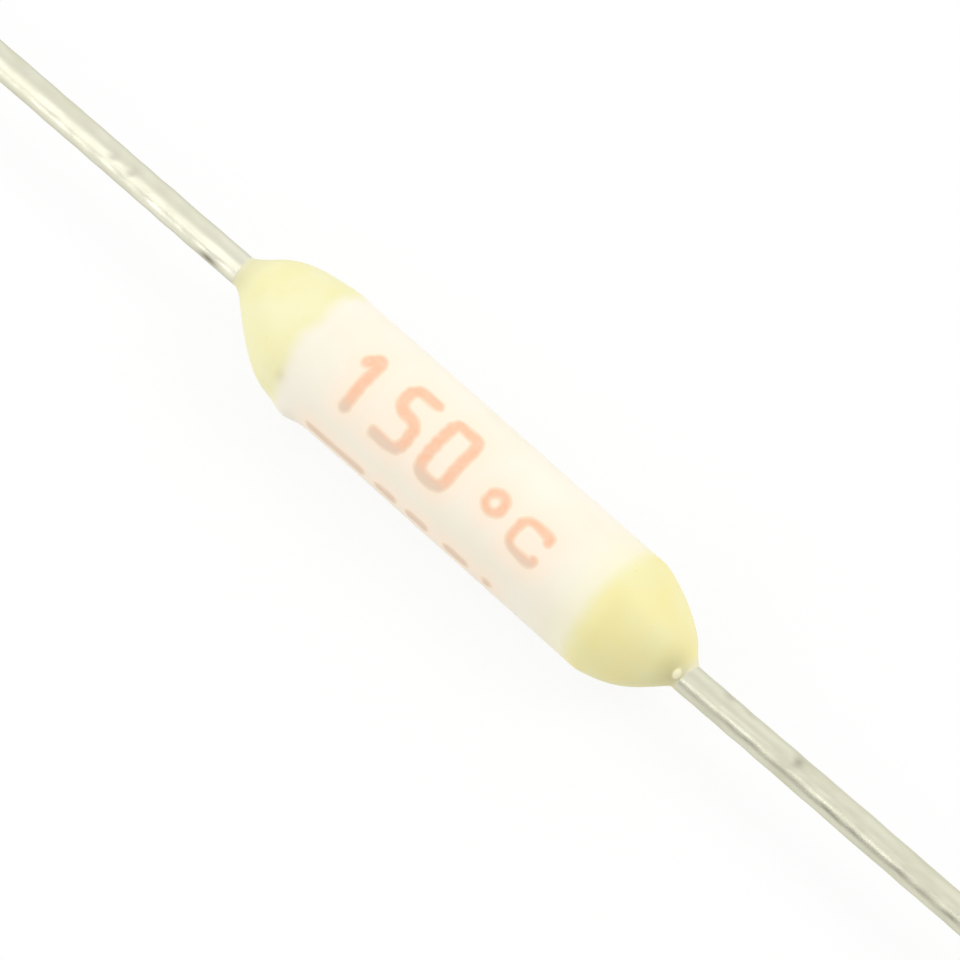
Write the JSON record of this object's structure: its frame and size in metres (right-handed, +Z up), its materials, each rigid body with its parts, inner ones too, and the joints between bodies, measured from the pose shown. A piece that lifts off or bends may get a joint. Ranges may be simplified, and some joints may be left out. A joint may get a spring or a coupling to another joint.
{
  "type": "thermal fuse",
  "caption": "Axial thermal fuse: pale ceramic tube closed at each end by a domed yellow resin seal, with a straight tinned wire lead cast into each seal.",
  "frame": {"origin": "middle of the ceramic tube, on its axis", "axes": "+X along the tube and the leads, towards the right lead; +Z up, with the fuse lying level"},
  "size_m": [0.0644, 0.0024, 0.0024],
  "materials": {
    "ceramic": "fired ceramic, ivory white, satin",
    "resin": "cast resin, pale yellow, satin gloss",
    "tinned_wire": "tinned copper wire, satin",
    "fusible_alloy": "dull grey low-melting alloy",
    "flux": "amber flux resin, glossy",
    "print_ink": "thin orange printed ink, matte"
  },
  "bodies": {
    "root": {"ceramic_tube": "ceramic", "left_seal": "resin", "right_seal": "resin", "left_lead": "tinned_wire", "right_lead": "tinned_wire", "fusible_link": "fusible_alloy", "flux_coating": "flux"}
  },
  "joints": []
}
